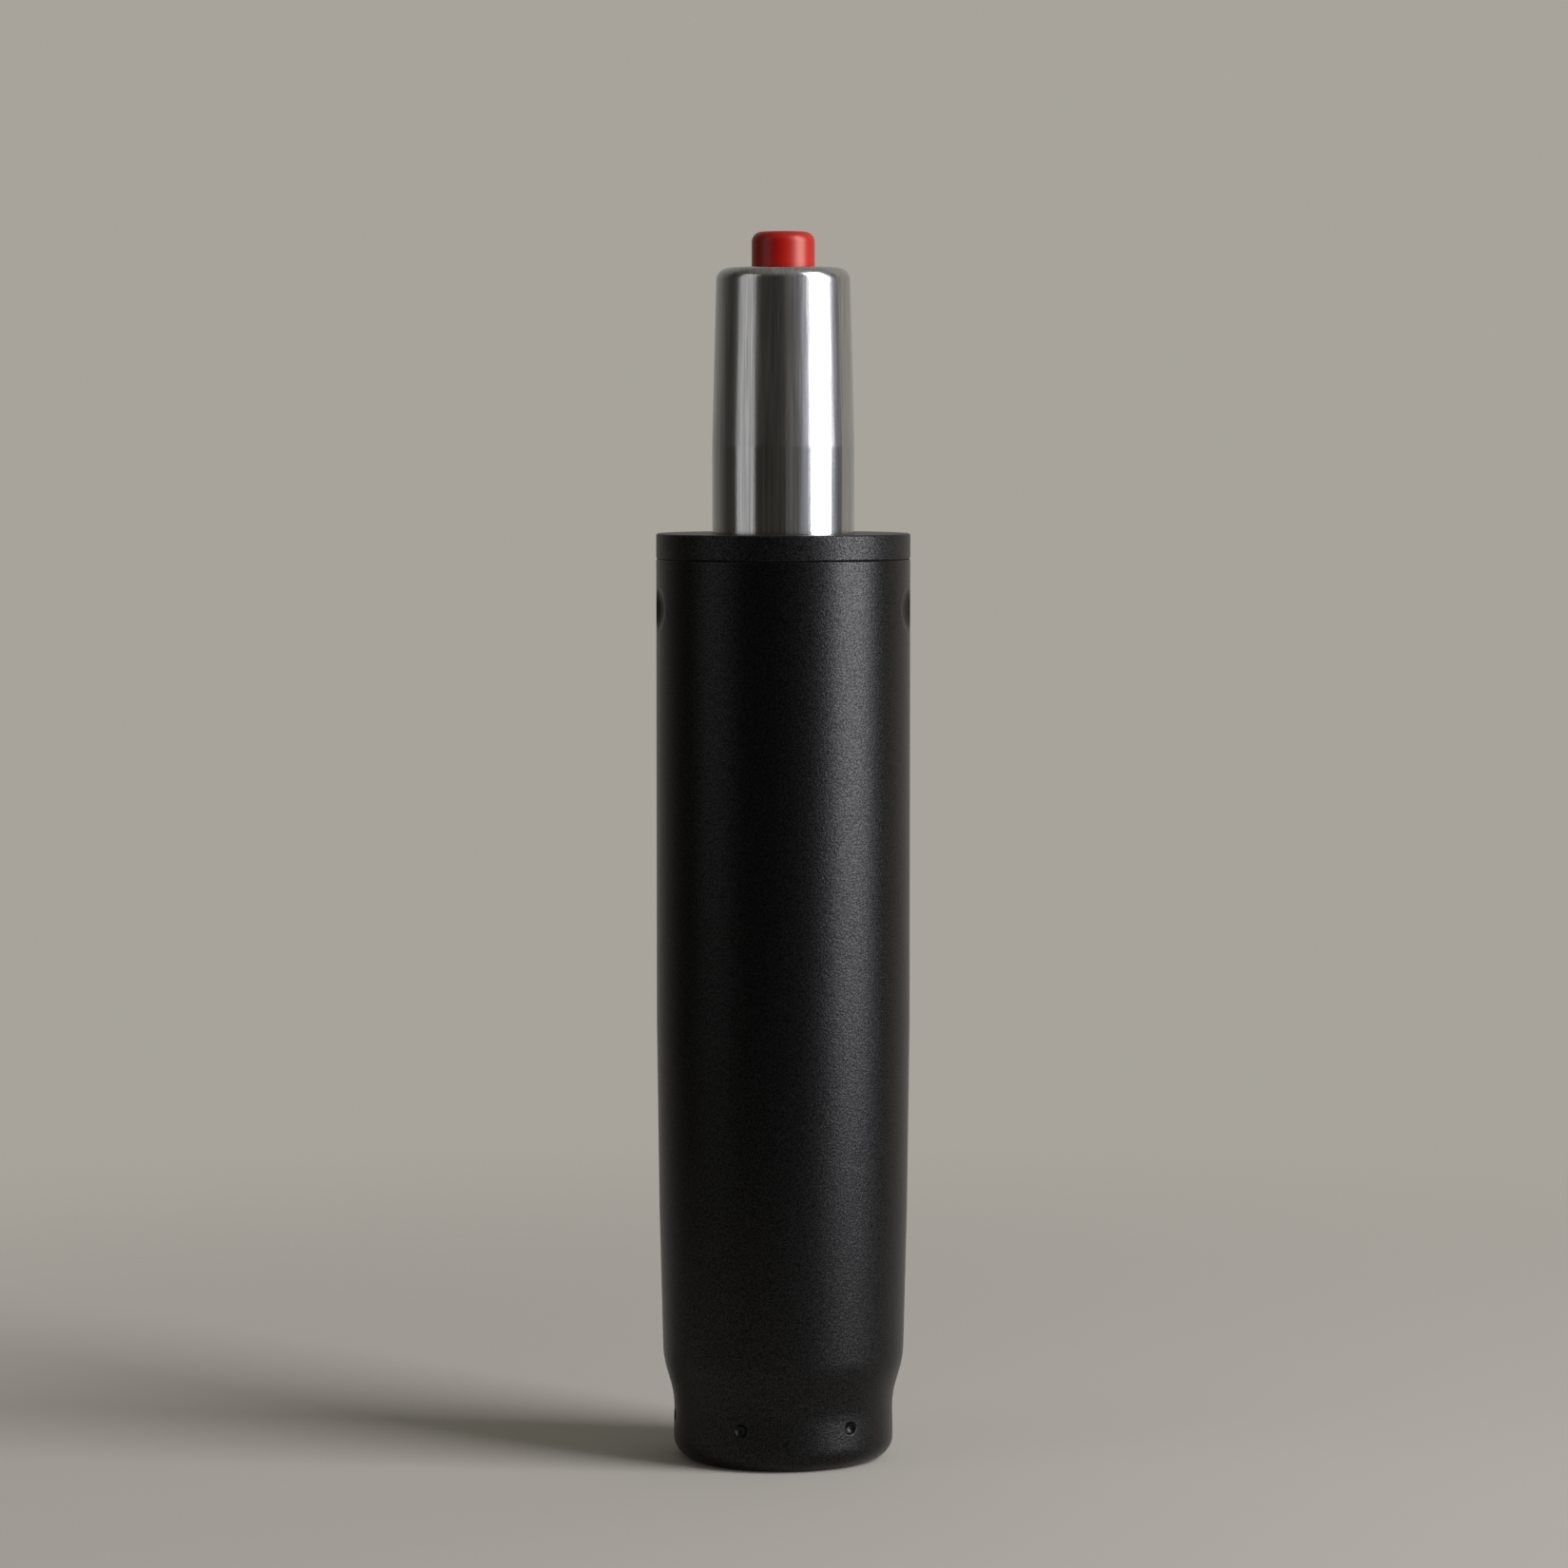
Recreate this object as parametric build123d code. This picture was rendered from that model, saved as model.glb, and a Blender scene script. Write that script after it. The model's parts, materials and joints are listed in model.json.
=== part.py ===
from build123d import *
from math import radians, tan
import os

# Gas spring of a swivel chair, fully lowered. Millimetres, foot of the column at z = 0, axis on Z,
# front towards -Y.

# Standard seat cone, in degrees a side, on the foot of the column and on the head of the cylinder
cone_angle = 1.4378

# Column tube
column_radius = 25.0
column_wall = 2.5
column_height = 178.0
column_cone_top = 68.0
shoulder_top = 19.8
shoulder_height = 7.6
shoulder_step = 2.2
foot_chamfer = 1.8
lip_width = 4.5

# Marks pressed into the column: punch marks that hold the base plate, dents that hold the bush
punch_count = 6
punch_first_bearing = 7.5
punch_radius = 1.15
punch_depth = 0.7
dent_bearing = 12.0
dent_below_rim = 9.7
dent_radius = 4.2
dent_depth = 1.2

# Guide bush
collar_height = 5.0
bush_length = 68.0
bush_land_length = 18.0
bush_wall = 3.5
bush_rib_count = 6
bush_rib_width = 2.2

# Cylinder and what it holds
cylinder_radius = 14.0
cylinder_wall = 2.0
cylinder_exposed = 52.0
cylinder_cone_length = 35.0
cylinder_chamfer = 1.5
gas_gap = 1.0
inner_wall = 1.0
rod_guide_height = 15.0
rod_seal_height = 6.0
centring_height = 8.0
spigot_length = 3.0
flat_depth = 1.25

# Piston rod and piston
rod_radius = 5.0
rod_step = 1.0
rod_end_gap = 0.5
rod_end_past_nut = 1.0
piston_height = 7.0
piston_seal_height = 3.0
nut_height = 4.0
nut_width = 13.0
piston_to_valve = 8.4

# Foot of the rod
plate_thickness = 4.5
clip_thickness = 1.1
clip_radius = 6.2
clip_groove_depth = 0.8
clip_opening = 6.4
thrust_washer_radius = 9.0
thrust_washer_height = 2.0
bumper_radius = 11.0
bumper_height = 13.2

# Valve and button
valve_length = 44.0
valve_seal_height = 3.0
port_count = 2
port_width = 2.0
port_height = 2.5
pin_radius = 3.0
pin_neck_radius = 2.0
pin_neck_length = 12.0
pin_head_radius = 3.8
pin_head_height = 1.5
button_radius = 6.2
button_rise = 7.2
button_chamfer = 1.2
button_travel = 3.5
flange_width = 1.0
flange_height = 1.5

# Clearances
running_fit = 0.05
loose_fit = 0.1
seat_gap = 0.3

UPRIGHT = (Align.CENTER, Align.CENTER, Align.MIN)
OUTWARD = (Align.MIN, Align.CENTER, Align.MIN)


def disc(radius, bottom, height):
    """Round bar standing at a height."""
    return Pos(0, 0, bottom) * Cylinder(radius, height, align=UPRIGHT)


def ring(outer, inner, bottom, height):
    """Plain ring standing at a height."""
    return disc(outer, bottom, height) - disc(inner, bottom, height)


def turned(points, last_side=Line):
    """Solid of revolution about Z of an outline of (radius, height) points, closed by its last side. A seat cone
    is last and a Bezier, straight here, because the facets of that run the cone's whole length."""
    with BuildSketch(Plane.XZ) as outline:
        with BuildLine():
            Polyline(*points)
            last_side(points[-1], points[0])
        make_face()
    return revolve(outline.sketch, axis=Axis.Z)


def hexagon(half_width, bottom, height):
    """Upright hexagonal bar."""
    return Pos(0, 0, bottom) * extrude(RegularPolygon(half_width, 6, major_radius=False), height)


def flatted(radius, bottom, height):
    """Round bar with six flats, along which gas or air passes between it and its bore."""
    return disc(radius, bottom, height) & hexagon(radius - flat_depth, bottom, height)


def around(shape, count, first=0):
    """Copies of a shape, evenly spaced about Z."""
    return [Rot(0, 0, first + 360 * i / count) * shape for i in range(count)]


def cone_drop(length):
    """What a seat cone loses in radius over a length."""
    return length * tan(radians(cone_angle))


# Heights, from the foot up
lip_thickness = column_wall
neck_top = shoulder_top - shoulder_height
plate_top = lip_thickness + plate_thickness
punch_height = plate_top + punch_radius
washer_top = plate_top + thrust_washer_height
bumper_top = washer_top + bumper_height
cylinder_bottom = bumper_top + seat_gap
collar_top = column_height + collar_height
cylinder_top = collar_top + cylinder_exposed
button_top = cylinder_top + button_rise

# Radii of the column
column_bore = column_radius - column_wall
column_cone_end = column_radius - cone_drop(column_cone_top - shoulder_top)
neck_radius = column_cone_end - shoulder_step
neck_bore = neck_radius - column_wall
land_radius = column_bore - loose_fit
dent_height = column_height - dent_below_rim

# Inside the cylinder, from its closed-in foot up
cylinder_bore = cylinder_radius - cylinder_wall
inner_radius = cylinder_bore - gas_gap
inner_bore = inner_radius - inner_wall
packing_radius = cylinder_bore - running_fit
gland_bottom = cylinder_bottom + cylinder_wall
seal_bottom = gland_bottom + rod_guide_height
centring_bottom = seal_bottom + rod_seal_height
inner_bottom = centring_bottom + centring_height
travel_stop = inner_bottom + spigot_length

# Under the cylinder's closed-in head, from the top down
head_floor = cylinder_top - cylinder_wall
flange_radius = button_radius + flange_width
flange_top = head_floor - seat_gap
flange_bottom = flange_top - flange_height
guide_bottom = flange_bottom - button_travel - seat_gap
valve_top = guide_bottom - valve_seal_height
valve_bottom = valve_top - valve_length
inner_top = valve_bottom + 2 * spigot_length

# Rod and piston, from the valve down
journal_radius = rod_radius - rod_step
journal_hole = journal_radius + running_fit
rod_top = valve_bottom - piston_to_valve
nut_bottom = rod_top - rod_end_past_nut - nut_height
piston_top = nut_bottom - piston_seal_height
piston_bottom = piston_top - piston_height
clip_top = lip_thickness - loose_fit
clip_bottom = clip_top - clip_thickness
groove_radius = journal_radius - clip_groove_depth
stroke = piston_bottom - travel_stop


def pressed(radius, height, half_width, depth, backing):
    """Square block standing a depth inwards of a wall's radius and reaching outwards of it by a backing."""
    block = Box(depth + backing, 2 * half_width, 2 * half_width, align=(Align.MIN, Align.CENTER, Align.CENTER))
    return Pos(radius - depth, 0, height) * block


def at_dents(shape):
    """Copies of a shape at the two dents."""
    return [Rot(0, 0, bearing) * shape for bearing in (-dent_bearing, dent_bearing - 180)]


def make_outer_tube():
    """Column tube: straight, coned and necked, with its foot rolled in and its marks pressed in."""
    outline = [
        (column_cone_end, shoulder_top),
        (neck_radius, neck_top),
        (neck_radius, foot_chamfer),
        (neck_radius - foot_chamfer, 0),
        (neck_bore - lip_width, 0),
        (neck_bore - lip_width, lip_thickness),
        (neck_bore, lip_thickness),
        (neck_bore, neck_top),
        (column_bore, shoulder_top),
        (column_bore, column_height),
        (column_radius, column_height),
        (column_radius, column_cone_top),
    ]
    tube = turned(outline, last_side=Bezier)
    punched_in = pressed(neck_bore, punch_height, punch_radius, punch_depth, column_wall / 4)
    punch_mark = pressed(neck_radius, punch_height, punch_radius, punch_depth, punch_depth)
    tube += around(punched_in, punch_count, punch_first_bearing)
    tube -= around(punch_mark, punch_count, punch_first_bearing)
    dented_in = pressed(column_bore, dent_height, dent_radius, dent_depth, column_wall / 4)
    ball_radius = (dent_radius**2 + dent_depth**2) / (2 * dent_depth)
    dent = Pos(column_radius - dent_depth + ball_radius, 0, dent_height) * Sphere(ball_radius)
    return tube + at_dents(dented_in) - at_dents(dent)


def make_guide_bush():
    """Plastic bush: a collar, a land and a sleeve with ribs that reach the column's wall."""
    bush_bottom = column_height - bush_length
    bore = cylinder_radius + running_fit
    sleeve = bore + bush_wall
    bush = disc(land_radius, bush_bottom, bush_length) + disc(column_radius, column_height, collar_height)
    pocket_width = 2 * sleeve * tan(radians(180 / bush_rib_count)) - bush_rib_width
    pocket_length = bush_length - bush_land_length
    pocket = Pos(sleeve, 0, bush_bottom) * Box(land_radius, pocket_width, pocket_length, align=OUTWARD)
    bush -= around(pocket, bush_rib_count)
    bush -= disc(bore, bush_bottom, bush_length + collar_height)
    dent_seat = pressed(column_bore, dent_height, dent_radius + seat_gap, dent_depth + seat_gap, column_wall)
    return bush - at_dents(dent_seat)


def make_base_plate():
    """Steel plate on the column's lip, its six corners under the punch marks."""
    plate = flatted(neck_bore - loose_fit, lip_thickness, plate_thickness)
    plate -= disc(journal_hole, lip_thickness, plate_thickness)
    return Rot(0, 0, punch_first_bearing) * plate


def make_thrust_washer():
    return ring(thrust_washer_radius, journal_hole, plate_top, thrust_washer_height)


def make_bumper():
    """Rubber ring with flats that leave it room to bulge when the cylinder lands on it."""
    return flatted(bumper_radius, washer_top, bumper_height) - disc(rod_radius + seat_gap, washer_top, bumper_height)


def make_piston_rod():
    """Rod with a grooved journal below, through the base plate, and a tail above for the piston."""
    return turned([
        (0, rod_end_gap),
        (journal_radius, rod_end_gap),
        (journal_radius, clip_bottom),
        (groove_radius, clip_bottom),
        (groove_radius, clip_top + loose_fit),
        (journal_radius, clip_top + loose_fit),
        (journal_radius, washer_top),
        (rod_radius, washer_top),
        (rod_radius, piston_bottom),
        (journal_radius, piston_bottom),
        (journal_radius, rod_top),
        (0, rod_top),
    ])


def make_retaining_clip():
    """Open ring pushed into the rod's groove from one side."""
    clip = ring(clip_radius, groove_radius + running_fit, clip_bottom, clip_thickness)
    mouth = Pos(0, 0, clip_bottom) * Box(clip_radius, clip_opening, clip_thickness, align=OUTWARD)
    return clip - mouth


def make_piston():
    """Guide of the rod's upper end; its flats carry gas to the seal above it."""
    piston = flatted(inner_bore - running_fit, piston_bottom, piston_height)
    return piston - disc(journal_hole, piston_bottom, piston_height)


def make_piston_seal():
    return ring(inner_bore - running_fit, journal_hole, piston_top, piston_seal_height)


def make_piston_nut():
    return hexagon(nut_width / 2, nut_bottom, nut_height) - disc(journal_hole, nut_bottom, nut_height)


def make_pressure_tube():
    """Cylinder tube, its foot closed in under the rod guide, its head coned and closed in over the valve."""
    head_radius = cylinder_radius - cone_drop(cylinder_cone_length - cylinder_chamfer)
    foot_hole = rod_radius + seat_gap
    head_hole = button_radius + loose_fit
    outline = [
        (head_radius, cylinder_top - cylinder_chamfer),
        (head_radius - cylinder_chamfer, cylinder_top),
        (head_hole, cylinder_top),
        (head_hole, head_floor),
        (cylinder_bore, head_floor),
        (cylinder_bore, gland_bottom),
        (foot_hole, gland_bottom),
        (foot_hole, cylinder_bottom),
        (cylinder_radius, cylinder_bottom),
        (cylinder_radius, cylinder_top - cylinder_cone_length),
    ]
    return turned(outline, last_side=Bezier)


def make_inner_tube():
    return ring(inner_radius, inner_bore, inner_bottom, inner_top - inner_bottom)


def make_rod_guide():
    guide = flatted(packing_radius, gland_bottom, rod_guide_height)
    return guide - disc(rod_radius + running_fit, gland_bottom, rod_guide_height)


def make_rod_seal():
    return ring(packing_radius, rod_radius + running_fit, seal_bottom, rod_seal_height)


def make_centring_ring():
    """Ring that centres the inner tube and lets gas out under its end."""
    centring = flatted(packing_radius, centring_bottom, centring_height)
    centring += flatted(inner_bore - running_fit, inner_bottom, spigot_length)
    centring -= disc(rod_radius + loose_fit, centring_bottom, centring_height + spigot_length)
    port = Pos(0, 0, inner_bottom - port_height) * Box(cylinder_bore, port_width, port_height, align=OUTWARD)
    return centring - around(port, port_count)


def make_valve_body():
    """Valve body with its spigot in the inner tube, and ports from the pin's bore to the outer gas space."""
    body = flatted(packing_radius, inner_top, valve_top - inner_top)
    body += disc(inner_bore - running_fit, valve_bottom, inner_top - valve_bottom)
    body -= disc(pin_radius + running_fit, valve_bottom, valve_length)
    port = Pos(0, 0, inner_top) * Box(cylinder_bore, port_width, port_height, align=OUTWARD)
    return body - around(port, port_count)


def make_valve_seal():
    return ring(packing_radius, pin_radius + running_fit, valve_top, valve_seal_height)


def make_button_guide():
    guide = flatted(packing_radius, guide_bottom, head_floor - guide_bottom)
    return guide - disc(flange_radius + loose_fit, guide_bottom, head_floor - guide_bottom)


def make_valve_pin():
    """Pin whose head closes the valve body's bore from below, and whose neck lets gas past when pressed."""
    neck_top_height = valve_bottom + pin_neck_length
    pin = disc(pin_head_radius, valve_bottom - pin_head_height, pin_head_height)
    pin += disc(pin_neck_radius, valve_bottom, pin_neck_length)
    return pin + disc(pin_radius, neck_top_height, flange_bottom - neck_top_height)


def make_release_button():
    return turned([
        (0, flange_bottom),
        (flange_radius, flange_bottom),
        (flange_radius, flange_top),
        (button_radius, flange_top),
        (button_radius, button_top - button_chamfer),
        (button_radius - button_chamfer, button_top),
        (0, button_top),
    ])


nodes = {
    "outer_tube": make_outer_tube(),
    "guide_bush": make_guide_bush(),
    "base_plate": make_base_plate(),
    "thrust_washer": make_thrust_washer(),
    "bumper": make_bumper(),
    "retaining_clip": make_retaining_clip(),
    "piston_rod": make_piston_rod(),
    "piston": make_piston(),
    "piston_seal": make_piston_seal(),
    "piston_nut": make_piston_nut(),
    "pressure_tube": make_pressure_tube(),
    "rod_guide": make_rod_guide(),
    "rod_seal": make_rod_seal(),
    "centring_ring": make_centring_ring(),
    "inner_tube": make_inner_tube(),
    "valve_body": make_valve_body(),
    "valve_seal": make_valve_seal(),
    "button_guide": make_button_guide(),
    "valve_pin": make_valve_pin(),
    "release_button": make_release_button(),
}

os.makedirs("parts", exist_ok=True)
for name, shape in nodes.items():
    export_step(shape, f"parts/{name}.step")

print("stroke", stroke, "overall height", button_top)
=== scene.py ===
import json
from math import ceil, cos, degrees, radians, sin, tan, tau

import bmesh
import bpy
from mathutils import Euler, Matrix, Vector


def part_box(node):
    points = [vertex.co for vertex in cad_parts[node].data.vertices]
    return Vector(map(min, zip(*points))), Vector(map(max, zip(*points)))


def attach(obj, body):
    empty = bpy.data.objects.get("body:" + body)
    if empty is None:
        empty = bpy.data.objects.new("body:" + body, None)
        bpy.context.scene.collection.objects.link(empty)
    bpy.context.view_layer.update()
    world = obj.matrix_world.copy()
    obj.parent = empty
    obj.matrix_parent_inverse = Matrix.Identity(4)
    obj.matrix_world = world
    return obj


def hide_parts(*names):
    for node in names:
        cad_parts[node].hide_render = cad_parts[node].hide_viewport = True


# Looks of a chair's gas spring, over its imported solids: the parts that show are made again with rounded
# edges and pressed marks, and every part gets its finish. Outlines are in millimetres, and a mesh is scaled
# to metres when it is finished. Bearings are in degrees from +X, seen from above, and the front faces -Y.

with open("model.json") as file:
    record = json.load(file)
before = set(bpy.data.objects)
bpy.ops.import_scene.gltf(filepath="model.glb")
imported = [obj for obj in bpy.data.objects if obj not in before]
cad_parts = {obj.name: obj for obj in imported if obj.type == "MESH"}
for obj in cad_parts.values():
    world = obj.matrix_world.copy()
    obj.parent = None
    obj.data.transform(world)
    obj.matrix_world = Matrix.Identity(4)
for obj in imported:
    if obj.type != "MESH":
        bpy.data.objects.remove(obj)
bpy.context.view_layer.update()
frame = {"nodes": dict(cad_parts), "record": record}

MM = 0.001
UP = Vector((0, 0, 1))


def low(node):
    """Lowest height of a solid, in millimetres."""
    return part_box(node)[0].z / MM


def high(node):
    """Greatest height of a solid, in millimetres."""
    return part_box(node)[1].z / MM


def radius_of(node):
    """Greatest radius of a round solid, in millimetres."""
    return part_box(node)[1].x / MM


# Sizes taken from the solids
column_radius = radius_of("outer_tube")
column_top = high("outer_tube")
collar_top = high("guide_bush")
bush_bottom = low("guide_bush")
lip_thickness = low("base_plate")
plate_top = high("base_plate")
cylinder_radius = radius_of("pressure_tube")
cylinder_bottom = low("pressure_tube")
cylinder_top = high("pressure_tube")
flange_radius = radius_of("release_button")
flange_bottom = low("release_button")
button_top = high("release_button")
clip_bottom = low("retaining_clip")
clip_top = high("retaining_clip")
washer_top = high("thrust_washer")
piston_bottom = low("piston")
rod_bottom = low("piston_rod")
rod_top = high("piston_rod")
rod_radius = radius_of("piston_rod")

# Seat cone, in degrees a side
cone_angle = 1.4378

# Gaps between one part and the next
running_gap = 0.05
land_gap = 0.1
flange_gap = 0.3
groove_gap = 0.1

# Edges: the rounding of a corner that gives none, two that many share, and the least turn that is rounded
edge_rounding = 0.15
broken_edge = 0.3
eased_edge = 0.5
least_turn = 0.1

# Mesh: steps of a full turn, degrees to a step of an arc, and how close counts as the same place
round_steps = 180
small_round_steps = 96
clip_steps = 120
arc_step = 9
same_point = 0.001
same_level = 0.0001
close_enough = 0.01

# Column tube
column_wall = 2.5
column_bore = column_radius - column_wall
column_cone_top = 68.0
cone_rounding = 1500.0
shoulder_top = 19.8
shoulder_height = 7.6
shoulder_step = 2.2
shoulder_rounding = 15.0
flare_height = 4.8
flare = 0.15
flare_rounding = 20.0
foot_rounding = 4.1
lip_width = 4.5
lip_root_rounding = 0.1
bore_rounding = 4.0
rim_rounding = 0.35

# Punch marks that hold the base plate, and dents that hold the bush; a reach is counted in a mark's radii
punch_count = 6
punch_step = 360 / punch_count
first_punch = 7.5
punch_bearings = [first_punch + punch_step * i for i in range(punch_count)]
punch_radius = 1.35
punch_height = plate_top + punch_radius
punch_depth = 0.9
punch_reach = 2.0
punch_row = 0.7
dent_bearings = [-13.0, -167.0]
dent_below_rim = 9.7
dent_height = column_top - dent_below_rim
dent_radius = 4.1
dent_depth = 1.2
dent_reach = 1.6
bush_dent_reach = 1.4
dent_row = 0.9
fine_reach = 1.4

# Guide bush
bush_bore = cylinder_radius + running_gap
bush_bore_rounding = 0.4
sleeve_wall = 3.5
sleeve_radius = bush_bore + sleeve_wall
land_length = 18
land_radius = column_bore - land_gap
land_bottom = column_top - land_length
rib_count = 6
rib_bearings = [360 / rib_count * (i + 0.5) for i in range(rib_count)]
rib_half_width = 1.1
rib_below_land = 0.3
rib_top = land_bottom - rib_below_land
collar_rounding = 0.45

# Cylinder
cylinder_wall = 2.0
cylinder_cone_length = 35.0
cylinder_cone_start = cylinder_top - cylinder_cone_length
cone_start_rounding = 8.0
cylinder_rounding = 2.5
cylinder_foot_rounding = 1.5
foot_hole = 5.3
head_hole = 6.3

# Button
button_radius = 6.2
button_rounding = 2.0
button_crown = 0.25
flange_top = cylinder_top - cylinder_wall - flange_gap

# Rod, and the base plate and clip round its foot
journal_radius = 4.0
groove_radius = 3.2
groove_top = clip_top + groove_gap
rod_end_rounding = 0.8
plate_radius = 18.99
plate_hole = journal_radius + running_gap
plate_hole_rounding = 0.2
plate_flat_depth = 1.25
clip_bore = groove_radius + running_gap
clip_radius = 6.2
clip_rounding = 0.2
clip_mouth = 86

# Light: the window's bearing, and the edges of the glow round it in degrees from its middle
window_bearing = -25.3
glow_edge = 42
glow_core = 20
backdrop_colour = (0.39, 0.37, 0.33, 1)

# Floor, in metres
floor_radius = 6.0
fade_start = 0.05
fade_end = 0.5

# Camera: place in metres, tilt below the level in degrees, lens and sensor in millimetres
camera_place = (0.00015, -1.0589, 0.2039)
camera_tilt = 3.8
camera_lens = 123.5
camera_sensor = 36.0


def cone_drop(length):
    """What a seat cone loses in radius over a length."""
    return length * tan(radians(cone_angle))


def turned(outline, steps=round_steps):
    """Body of revolution of an outline of (radius, height, rounding) corners; the rounding may be left out.
    One that starts and ends on the axis is solid, and any other is closed into a ring."""
    body = bmesh.new()
    corners = [body.verts.new((radius, 0, height)) for radius, height, *_ in outline]
    for corner, following in zip(corners, corners[1:]):
        body.edges.new((corner, following))
    if outline[0][0] > 0:
        body.edges.new((corners[-1], corners[0]))
    for corner, (radius, _, *rounding) in zip(corners, outline):
        turn = corner.calc_edge_angle(0)
        if radius > 0 and turn > radians(least_turn):
            bmesh.ops.bevel(
                body,
                geom=[corner],
                offset=(rounding[0] if rounding else edge_rounding) * tan(turn / 2),
                affect="VERTICES",
                segments=ceil(degrees(turn) / arc_step) + 1,
                profile=0.5,
                material=-1,
            )
    line = body.verts[:] + body.edges[:]
    bmesh.ops.spin(body, geom=line, axis=UP, cent=(0, 0, 0), angle=tau, steps=steps, use_merge=True)
    bmesh.ops.remove_doubles(body, verts=body.verts, dist=same_point)
    return body


def toward(bearing):
    """Level direction of a bearing."""
    return Vector((cos(radians(bearing)), sin(radians(bearing)), 0))


def flatten(body, depth, bearings, beyond):
    """Presses flats of a depth into the round walls beyond a radius, and into the rims that they carry."""
    for vert in body.verts:
        reach = vert.co.xy.length
        for bearing in bearings:
            across = vert.co.dot(toward(bearing))
            if reach > beyond and across > reach - depth:
                vert.co.xy *= (reach - depth) / across


def off_axis(point, bearing, height):
    """How far a point lies from the level line that leaves the axis at a bearing and height."""
    arm = point - height * UP
    out = toward(bearing)
    return (arm - arm.dot(out) * out).length if arm.dot(out) > 0 else float("inf")


def press(body, bearing, height, radius, depth, fineness, power, beyond=0.0):
    """Pushes a round hollow into the walls beyond a radius, on a mesh made finer near it. The higher the
    power, the softer is the hollow's rim."""
    near = [
        face for face in body.faces
        if off_axis(face.calc_center_median(), bearing, height) < fine_reach * radius
        and face.calc_center_median().xy.length > beyond
    ]
    edges = list({edge for face in near for edge in face.edges})
    bmesh.ops.subdivide_edges(body, edges=edges, cuts=fineness, use_grid_fill=True)
    for vert in body.verts:
        share = off_axis(vert.co, bearing, height) / radius
        if share < 1 and vert.co.xy.length > beyond:
            vert.co -= depth * (1 - share**2) ** power * toward(bearing)


def rows(body, height, reach, spacing):
    """Level cuts through the walls over a reach above and below a height, so that a mark there has faces to
    press."""
    count = round(2 * reach / spacing)
    for i in range(count + 1):
        geom = body.verts[:] + body.edges[:] + body.faces[:]
        level = height + reach * (2 * i / count - 1)
        bmesh.ops.bisect_plane(body, geom=geom, dist=same_level, plane_co=(0, 0, level), plane_no=UP)


def finished(body, name, stands_for, moves_with, finish):
    """The mesh as a piece of the object, in metres, riding on its body and standing for its solid."""
    bmesh.ops.recalc_face_normals(body, faces=body.faces)
    for face in body.faces:
        face.smooth = True
    body.transform(Matrix.Scale(MM, 4))
    mesh = bpy.data.meshes.new(name)
    body.to_mesh(mesh)
    body.free()
    mesh.materials.append(finishes[finish])
    piece = bpy.data.objects.new(name, mesh)
    bpy.context.scene.collection.objects.link(piece)
    shading = piece.modifiers.new("shading", "WEIGHTED_NORMAL")
    shading.keep_sharp = True
    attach(piece, moves_with)
    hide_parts(stands_for)


class Wire:
    """An output in a material's nodes. Arithmetic on it adds Math nodes, and node() adds any other."""

    def __init__(self, tree, socket=None):
        self.tree = tree
        self.socket = socket

    def node(self, kind, settings=None, values=None, output=0):
        """Adds a node, sets it up, fills its sockets with values or wires, and gives one of its outputs."""
        made = self.tree.nodes.new(kind)
        for name, value in (settings or {}).items():
            setattr(made, name, value)
        for name, value in (values or {}).items():
            if isinstance(value, Wire):
                self.tree.links.new(value.socket, made.inputs[name])
            else:
                made.inputs[name].default_value = value
        return Wire(self.tree, made.outputs[output] if made.outputs else None)

    def math(self, operation, *values):
        """Adds a Math node."""
        return self.node("ShaderNodeMath", {"operation": operation}, dict(enumerate(values)))

    def along(self, axis):
        """One coordinate of a vector."""
        return self.node("ShaderNodeSeparateXYZ", values={0: self}, output=axis)

    def rise(self, low_end, high_end):
        """Share that turns smoothly from 0 to 1 while this value goes from one end to the other."""
        return self.node("ShaderNodeMapRange", {"interpolation_type": "SMOOTHSTEP"},
                         {"Value": self, "From Min": low_end, "From Max": high_end})

    def mix(self, share, colour, other):
        """One colour turning into another as a share goes from 0 to 1."""
        return self.node("ShaderNodeMix", {"data_type": "RGBA"}, {0: share, 6: colour, 7: other}, output=2)

    def __add__(self, other):
        return self.math("ADD", self, other)

    def __sub__(self, other):
        return self.math("SUBTRACT", self, other)

    def __rsub__(self, other):
        return self.math("SUBTRACT", other, self)

    def __mul__(self, other):
        return self.math("MULTIPLY", self, other)

    __radd__ = __add__
    __rmul__ = __mul__


def blank(name):
    """A new material, and a wire to start its nodes from."""
    material = bpy.data.materials.new(name)
    material.use_nodes = True
    material.node_tree.nodes.clear()
    return material, Wire(material.node_tree)


def surface(start, values):
    """Ends a material in a Principled shader with these values and wires on its sockets."""
    shader = start.node("ShaderNodeBsdfPrincipled", values=values)
    start.node("ShaderNodeOutputMaterial", values={"Surface": shader})


def noise(start, size, detail, stretch=(1, 1, 1)):
    """Noise whose grains are about a size across, in millimetres, times the stretch along each axis."""
    place = start.node("ShaderNodeTexCoord", output="Object")
    scale = [1 / (size * MM * factor) for factor in stretch]
    place = start.node("ShaderNodeMapping", values={"Vector": place, "Scale": scale})
    return start.node("ShaderNodeTexNoise", values={"Vector": place, "Scale": 1.0, "Detail": detail})


def specks(start, size):
    """How much of a surface is fine dark specks, of a size in millimetres."""
    return noise(start, size, detail=1.0).rise(0.35, 0.65)


def relief(start, height, depth):
    """Normal of a surface whose height runs over a depth in millimetres."""
    return start.node("ShaderNodeBump", values={"Height": height, "Strength": 1.0, "Distance": depth * MM})


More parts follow.
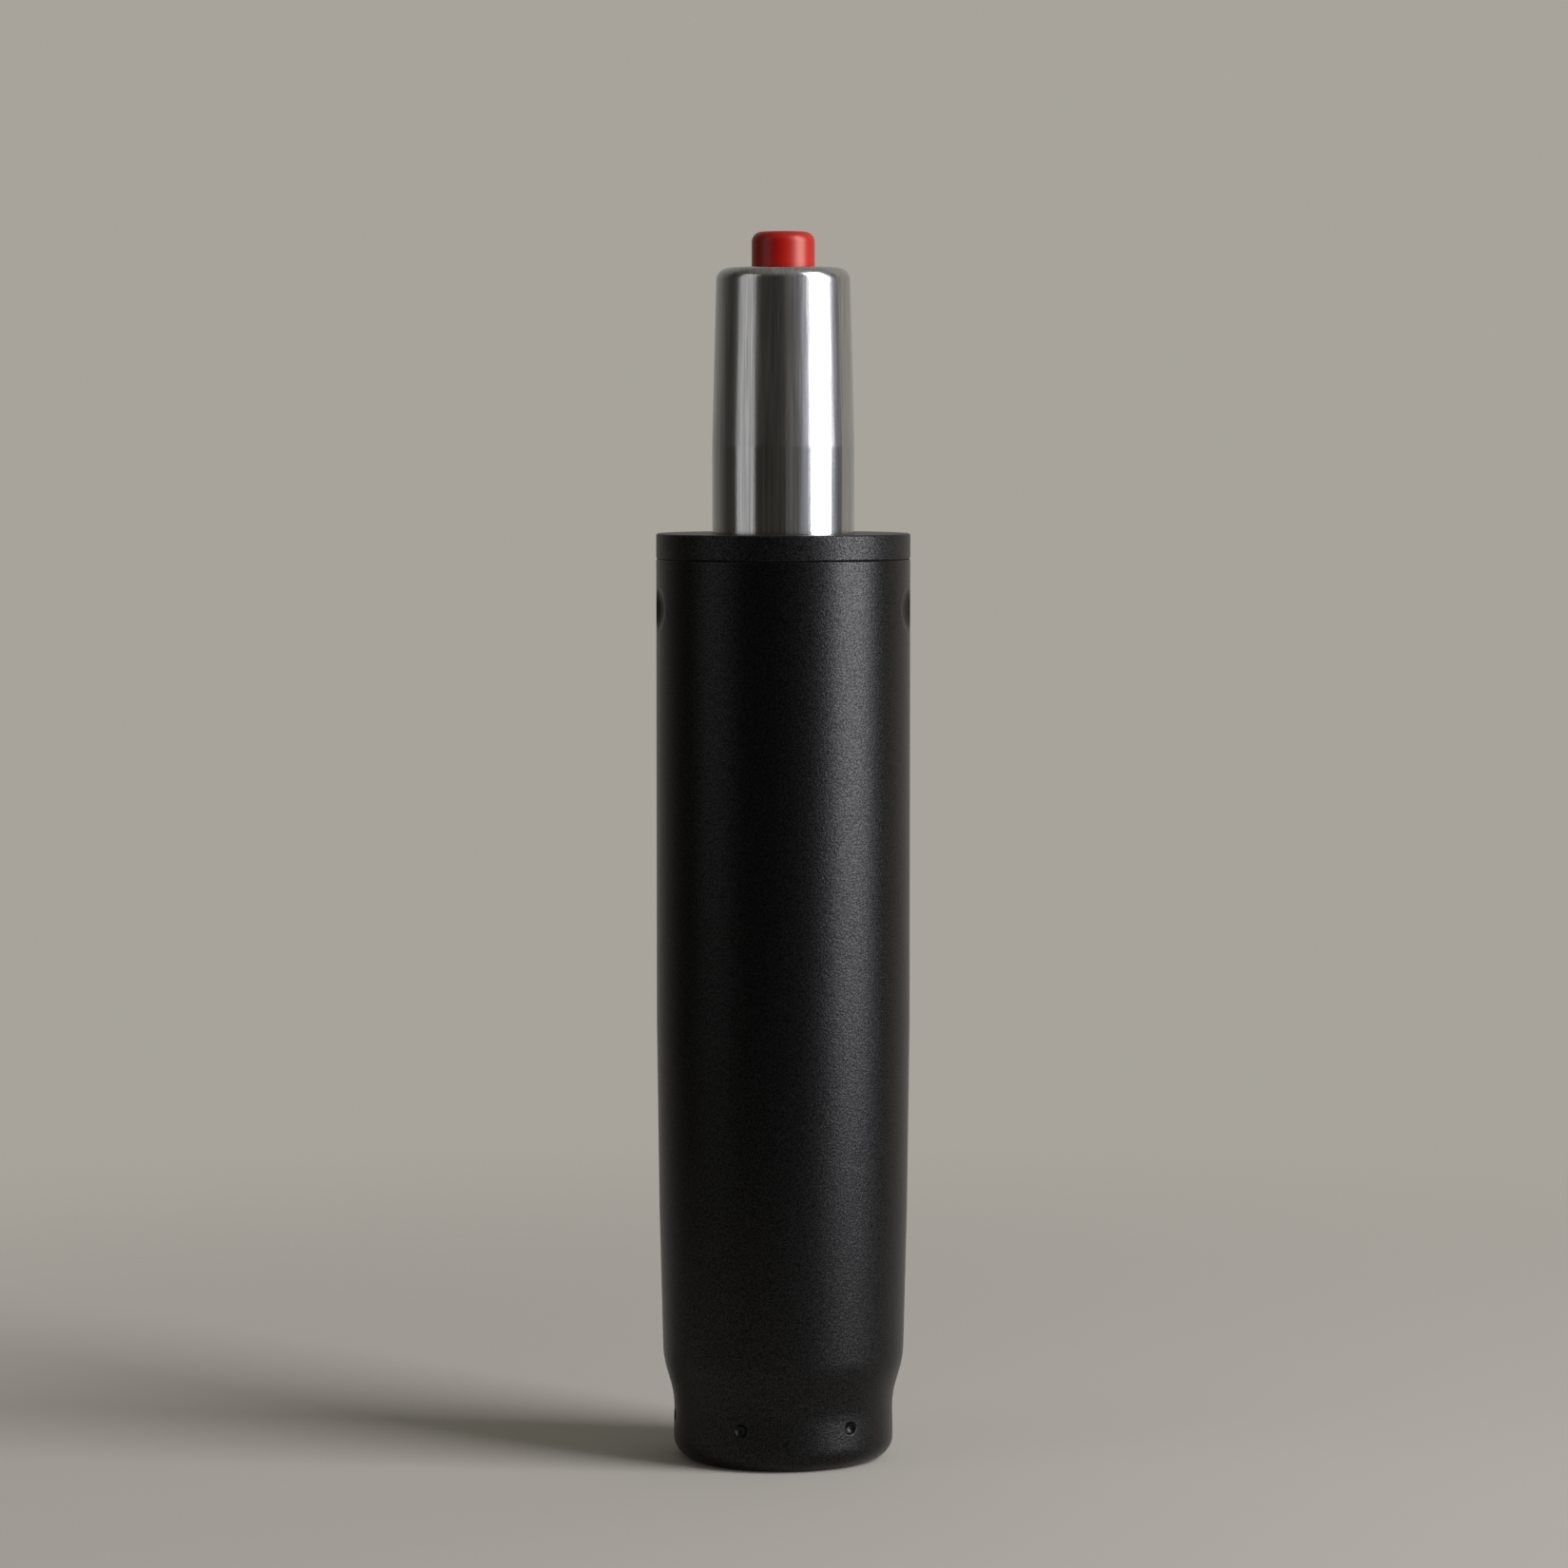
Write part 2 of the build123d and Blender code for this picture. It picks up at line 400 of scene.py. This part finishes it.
def black_powder_coat(start):
    grain = noise(start, 0.38, detail=2.0)
    return {
        "Base Color": (0.0012, 0.0012, 0.0014, 1),
        "Metallic": 0.6 * specks(start, 0.3),
        "Roughness": 0.25 + 0.16 * grain,
        "Specular IOR Level": 0.39,
        "Normal": relief(start, grain, 0.04),
    }


def black_plastic(start):
    grain = noise(start, 0.38, detail=3.0)
    return {
        "Base Color": (0.003, 0.003, 0.0032, 1),
        "Metallic": 0.75 * specks(start, 0.28),
        "Roughness": 0.33 + 0.12 * grain,
        "Specular IOR Level": 0.48,
        "Normal": relief(start, grain, 0.05),
    }


def polished_steel(start):
    """Drawn along its length, with its seat cone ground a little duller than the rest."""
    lines = noise(start, 0.45, detail=4.0, stretch=(1, 1, 80))
    grit = noise(start, 0.3, detail=3.0)
    smears = noise(start, 6.0, detail=3.0, stretch=(1, 1, 4))
    height = start.node("ShaderNodeTexCoord", output="Object").along("Z")
    blend = 0.4
    ground = height.rise((cylinder_cone_start - blend) * MM, (cylinder_cone_start + blend) * MM)
    return {
        "Base Color": start.mix(lines, (0.24, 0.24, 0.25, 1), (0.80, 0.795, 0.79, 1)),
        "Metallic": 1.0,
        "Roughness": 0.11 + 0.06 * smears + 0.05 * ground,
        "Normal": relief(start, lines + grit, 0.007),
    }


def red_plastic(start):
    grain = noise(start, 0.4, detail=3.0)
    return {
        "Base Color": (0.335, 0.003, 0.0012, 1),
        "Roughness": 0.33 + 0.08 * grain,
        "Specular IOR Level": 0.58,
        "Specular Tint": (1.0, 0.80, 0.64, 1),
        "Normal": relief(start, grain, 0.008),
    }


def plain_steel(start):
    rings = noise(start, 20.0, detail=3.0, stretch=(1, 1, 0.01))
    return {
        "Base Color": (0.50, 0.50, 0.50, 1),
        "Metallic": 1.0,
        "Roughness": 0.28 + 0.10 * rings,
        "Normal": relief(start, rings, 0.004),
    }


def die_cast(start):
    grain = noise(start, 0.8, detail=4.0)
    return {
        "Base Color": (0.52, 0.52, 0.54, 1),
        "Metallic": 1.0,
        "Roughness": 0.42 + 0.12 * grain,
        "Normal": relief(start, grain, 0.02),
    }


def pale_plastic(start):
    grain = noise(start, 0.6, detail=3.0)
    return {
        "Base Color": (0.70, 0.67, 0.58, 1),
        "Roughness": 0.48 + 0.08 * grain,
        "Normal": relief(start, grain, 0.01),
    }


def rubber(start):
    grain = noise(start, 0.5, detail=4.0)
    return {
        "Base Color": (0.018, 0.018, 0.018, 1),
        "Roughness": 0.62 + 0.12 * grain,
        "Specular IOR Level": 0.35,
        "Normal": relief(start, grain, 0.02),
    }


finishes = {}
for finish in (
    black_powder_coat, black_plastic, polished_steel, red_plastic,
    plain_steel, die_cast, pale_plastic, rubber,
):
    material, start = blank(finish.__name__)
    surface(start, finish(start))
    finishes[finish.__name__] = material

for part in frame["record"]["subparts"]:
    slots = frame["nodes"][part["node"]].data.materials
    slots.clear()
    slots.append(finishes[part["material_slot"]])


def make_column():
    """Column tube with its S-shaped shoulder, rounded foot, rolled-in lip and pressed marks."""
    cone_end = column_radius - cone_drop(column_cone_top - shoulder_top)
    neck_top = shoulder_top - shoulder_height
    neck_radius = cone_end - shoulder_step
    neck_bore = neck_radius - column_wall
    foot_radius = neck_radius + flare
    lip_radius = neck_bore - lip_width
    column = turned([
        (column_radius, column_top, rim_rounding),
        (column_radius, column_cone_top, cone_rounding),
        (cone_end, shoulder_top, shoulder_rounding),
        (neck_radius, neck_top, shoulder_rounding),
        (foot_radius, flare_height, flare_rounding),
        (foot_radius, 0, foot_rounding),
        (lip_radius, 0, broken_edge),
        (lip_radius, lip_thickness, broken_edge),
        (neck_bore, lip_thickness, lip_root_rounding),
        (neck_bore, neck_top, bore_rounding),
        (column_bore, shoulder_top, bore_rounding),
        (column_bore, column_top, broken_edge),
    ])
    rows(column, punch_height, punch_reach * punch_radius, punch_row)
    rows(column, dent_height, dent_reach * dent_radius, dent_row)
    for bearing in punch_bearings:
        press(column, bearing, punch_height, punch_radius, punch_depth, fineness=4, power=0.8)
    for bearing in dent_bearings:
        press(column, bearing, dent_height, dent_radius, dent_depth, fineness=2, power=1.0)
    finished(column, "column_shell", "outer_tube", "column", "black_powder_coat")


def make_bush():
    """Guide bush: collar on the column's rim, land in its bore, and a ribbed sleeve below."""
    bush = turned([
        (bush_bore, bush_bottom, eased_edge),
        (sleeve_radius, bush_bottom, broken_edge),
        (sleeve_radius, rib_top),
        (sleeve_radius, land_bottom),
        (land_radius, land_bottom, eased_edge),
        (land_radius, column_top),
        (column_radius, column_top, rim_rounding),
        (column_radius, collar_top, collar_rounding),
        (bush_bore, collar_top, bush_bore_rounding),
    ])
    ribs = [
        face for face in bush.faces
        if max(vert.co.z for vert in face.verts) < rib_top + close_enough
        and min(vert.co.xy.length for vert in face.verts) > sleeve_radius - close_enough
        and min(off_axis(face.calc_center_median(), bearing, face.calc_center_median().z)
                for bearing in rib_bearings) < rib_half_width
    ]
    grown = bmesh.ops.extrude_face_region(bush, geom=ribs)["geom"]
    tips = [item for item in grown if isinstance(item, bmesh.types.BMVert)]
    reach = land_radius / sleeve_radius
    bmesh.ops.scale(bush, vec=(reach, reach, 1), verts=tips)
    bmesh.ops.delete(bush, geom=ribs, context="FACES")
    rows(bush, dent_height, bush_dent_reach * dent_radius, dent_row)
    for bearing in dent_bearings:
        press(bush, bearing, dent_height, dent_radius, dent_depth, fineness=1, power=1.0,
              beyond=sleeve_radius)
    finished(bush, "bush_and_collar", "guide_bush", "column", "black_plastic")


def make_cylinder():
    """Cylinder tube, closed in over the rod guide below and over the valve above, with its seat cone."""
    head_radius = cylinder_radius - cone_drop(cylinder_cone_length)
    bore = cylinder_radius - cylinder_wall
    cylinder = turned([
        (foot_hole, cylinder_bottom),
        (cylinder_radius, cylinder_bottom, cylinder_foot_rounding),
        (cylinder_radius, cylinder_cone_start, cone_start_rounding),
        (head_radius, cylinder_top, cylinder_rounding),
        (head_hole, cylinder_top, broken_edge),
        (head_hole, cylinder_top - cylinder_wall),
        (bore, cylinder_top - cylinder_wall, broken_edge),
        (bore, cylinder_bottom + cylinder_wall, broken_edge),
        (foot_hole, cylinder_bottom + cylinder_wall),
    ])
    finished(cylinder, "cylinder_shell", "pressure_tube", "gas_cylinder", "polished_steel")


def make_button():
    """Release button with a rounded, slightly crowned face, kept in by its flange."""
    button = turned([
        (0, flange_bottom),
        (flange_radius, flange_bottom),
        (flange_radius, flange_top),
        (button_radius, flange_top),
        (button_radius, button_top - button_crown, button_rounding),
        (0, button_top),
    ], steps=small_round_steps)
    finished(button, "button_cap", "release_button", "release", "red_plastic")


def make_base_plate():
    """Stamped plate on the column's lip, with its six corners under the punch marks."""
    plate = turned([
        (plate_hole, lip_thickness, plate_hole_rounding),
        (plate_radius, lip_thickness, eased_edge),
        (plate_radius, plate_top, eased_edge),
        (plate_hole, plate_top, plate_hole_rounding),
    ])
    flats = [bearing + punch_step / 2 for bearing in punch_bearings]
    flatten(plate, plate_flat_depth, flats, beyond=plate_radius / 2)
    finished(plate, "foot_plate", "base_plate", "column", "plain_steel")


def make_rod():
    """Piston rod, with its clip groove and journal below and a tail for the piston above."""
    rod = turned([
        (0, rod_bottom),
        (journal_radius, rod_bottom, rod_end_rounding),
        (journal_radius, clip_bottom),
        (groove_radius, clip_bottom),
        (groove_radius, groove_top),
        (journal_radius, groove_top),
        (journal_radius, washer_top),
        (rod_radius, washer_top),
        (rod_radius, piston_bottom),
        (journal_radius, piston_bottom),
        (journal_radius, rod_top, rod_end_rounding),
        (0, rod_top),
    ], steps=small_round_steps)
    finished(rod, "rod", "piston_rod", "piston_rod", "plain_steel")


def make_clip():
    """Open clip in the rod's groove, its mouth towards +X."""
    clip = turned([
        (clip_bore, clip_bottom, clip_rounding),
        (clip_radius, clip_bottom, clip_rounding),
        (clip_radius, clip_top, clip_rounding),
        (clip_bore, clip_top, clip_rounding),
    ], steps=clip_steps)
    mouth = [
        face for face in clip.faces
        if face.calc_center_median().xy.normalized().x > cos(radians(clip_mouth / 2))
    ]
    bmesh.ops.delete(clip, geom=mouth, context="FACES")
    bmesh.ops.holes_fill(clip, edges=[edge for edge in clip.edges if edge.is_boundary])
    finished(clip, "rod_clip", "retaining_clip", "piston_rod", "plain_steel")


make_column()
make_bush()
make_cylinder()
make_button()
make_base_plate()
make_rod()
make_clip()


def make_floor():
    """Pale round floor that fades out into the backdrop's colour."""
    floor = bmesh.new()
    bmesh.ops.create_circle(floor, cap_ends=True, segments=small_round_steps, radius=floor_radius)
    mesh = bpy.data.meshes.new("floor")
    floor.to_mesh(mesh)
    floor.free()
    piece = bpy.data.objects.new("floor", mesh)
    bpy.context.scene.collection.objects.link(piece)
    material, start = blank("floor")
    place = start.node("ShaderNodeTexCoord", output="Object")
    distance = start.node("ShaderNodeVectorMath", {"operation": "LENGTH"}, {0: place}, output="Value")
    fade = distance.rise(fade_start, fade_end)
    paint = start.node("ShaderNodeBsdfPrincipled", values={
        "Base Color": (0.46, 0.438, 0.39, 1), "Roughness": 0.9, "Specular IOR Level": 0.1,
    })
    clear = start.node("ShaderNodeBsdfTransparent")
    shown = start.node("ShaderNodeMixShader", values={0: fade, 1: paint, 2: clear})
    start.node("ShaderNodeOutputMaterial", values={"Surface": shown})
    mesh.materials.append(material)


def make_world():
    """Plain room. The camera sees the backdrop's colour all round, and mirrored or refracted rays see it
    behind the object. Elsewhere the room is dim and slightly uneven, with a cool glow round the window and
    a ceiling that darkens to the left."""
    world = bpy.data.worlds.new("room")
    world.use_nodes = True
    world.node_tree.nodes.clear()
    start = Wire(world.node_tree)
    way = start.node("ShaderNodeTexCoord", output="Generated")
    right = way.along("X")
    behind = way.along("Y").rise(0.20, 0.60)
    pale = behind * (0.64 + 0.60 * right)
    streaks = start.node("ShaderNodeMapping", values={"Vector": way, "Scale": (9, 9, 0.3)})
    streaks = start.node("ShaderNodeTexNoise", values={"Vector": streaks, "Scale": 1.0, "Detail": 2.0})
    dim = start.mix(streaks, (0.014, 0.013, 0.009, 1), (0.076, 0.070, 0.062, 1))
    facing = start.node("ShaderNodeVectorMath", {"operation": "DOT_PRODUCT"},
                        {0: way, 1: toward(window_bearing)}, output="Value")
    glow = facing.rise(cos(radians(glow_edge)), cos(radians(glow_core)))
    dim = start.mix(glow, dim, (0.42, 0.43, 0.49, 1))
    room = start.mix(pale, dim, (0.54, 0.53, 0.475, 1))
    ceiling = way.along("Z").rise(0.35, 1.0)
    above = start.mix(0.5 + 0.5 * right, (0.11, 0.095, 0.075, 1), (0.42, 0.41, 0.385, 1))
    room = start.mix(ceiling, room, above)
    camera_ray = start.node("ShaderNodeLightPath", output="Is Camera Ray")
    mirrored = start.node("ShaderNodeLightPath", output="Is Glossy Ray")
    refracted = start.node("ShaderNodeLightPath", output="Is Transmission Ray")
    backdrop = camera_ray + (mirrored + refracted) * pale * (1 - ceiling)
    seen = start.mix(backdrop, room, backdrop_colour)
    shade = start.node("ShaderNodeBackground", values={"Color": seen, "Strength": 1.0})
    start.node("ShaderNodeOutputWorld", values={"Surface": shade})
    bpy.context.scene.world = world


def add_panel(name, bearing, distance, width, bottom, top, energy, colour=(1, 1, 1)):
    """Upright soft light at a bearing, facing the object, between two heights; lengths are in metres."""
    light = bpy.data.lights.new(name, "AREA")
    light.color = colour
    light.shape = "RECTANGLE"
    light.size = width
    light.size_y = top - bottom
    light.energy = energy
    lamp = bpy.data.objects.new(name, light)
    lamp.location = distance * toward(bearing) + (top + bottom) / 2 * UP
    lamp.rotation_euler = (-toward(bearing)).to_track_quat("-Z", "Y").to_euler()
    lamp.visible_camera = False
    bpy.context.scene.collection.objects.link(lamp)


def add_camera():
    """Camera at the height and distance from which the spring was seen."""
    camera = bpy.data.cameras.new("camera")
    camera.sensor_width = camera_sensor
    camera.lens = camera_lens
    viewpoint = bpy.data.objects.new("camera", camera)
    viewpoint.location = camera_place
    viewpoint.rotation_euler = Euler((radians(90 - camera_tilt), 0, 0))
    bpy.context.scene.collection.objects.link(viewpoint)
    bpy.context.scene.camera = viewpoint


make_floor()
make_world()
add_panel("window", bearing=window_bearing, distance=1.2, width=0.75, bottom=0.01, top=1.7, energy=37,
          colour=(0.955, 0.945, 1.0))
add_panel("left_panel", bearing=-154, distance=1.2, width=0.70, bottom=0.03, top=1.2, energy=1.5)
add_panel("front_fill", bearing=-70, distance=1.4, width=0.8, bottom=0.03, top=1.2, energy=0.26)
add_camera()
bpy.context.scene.view_settings.view_transform = "Standard"
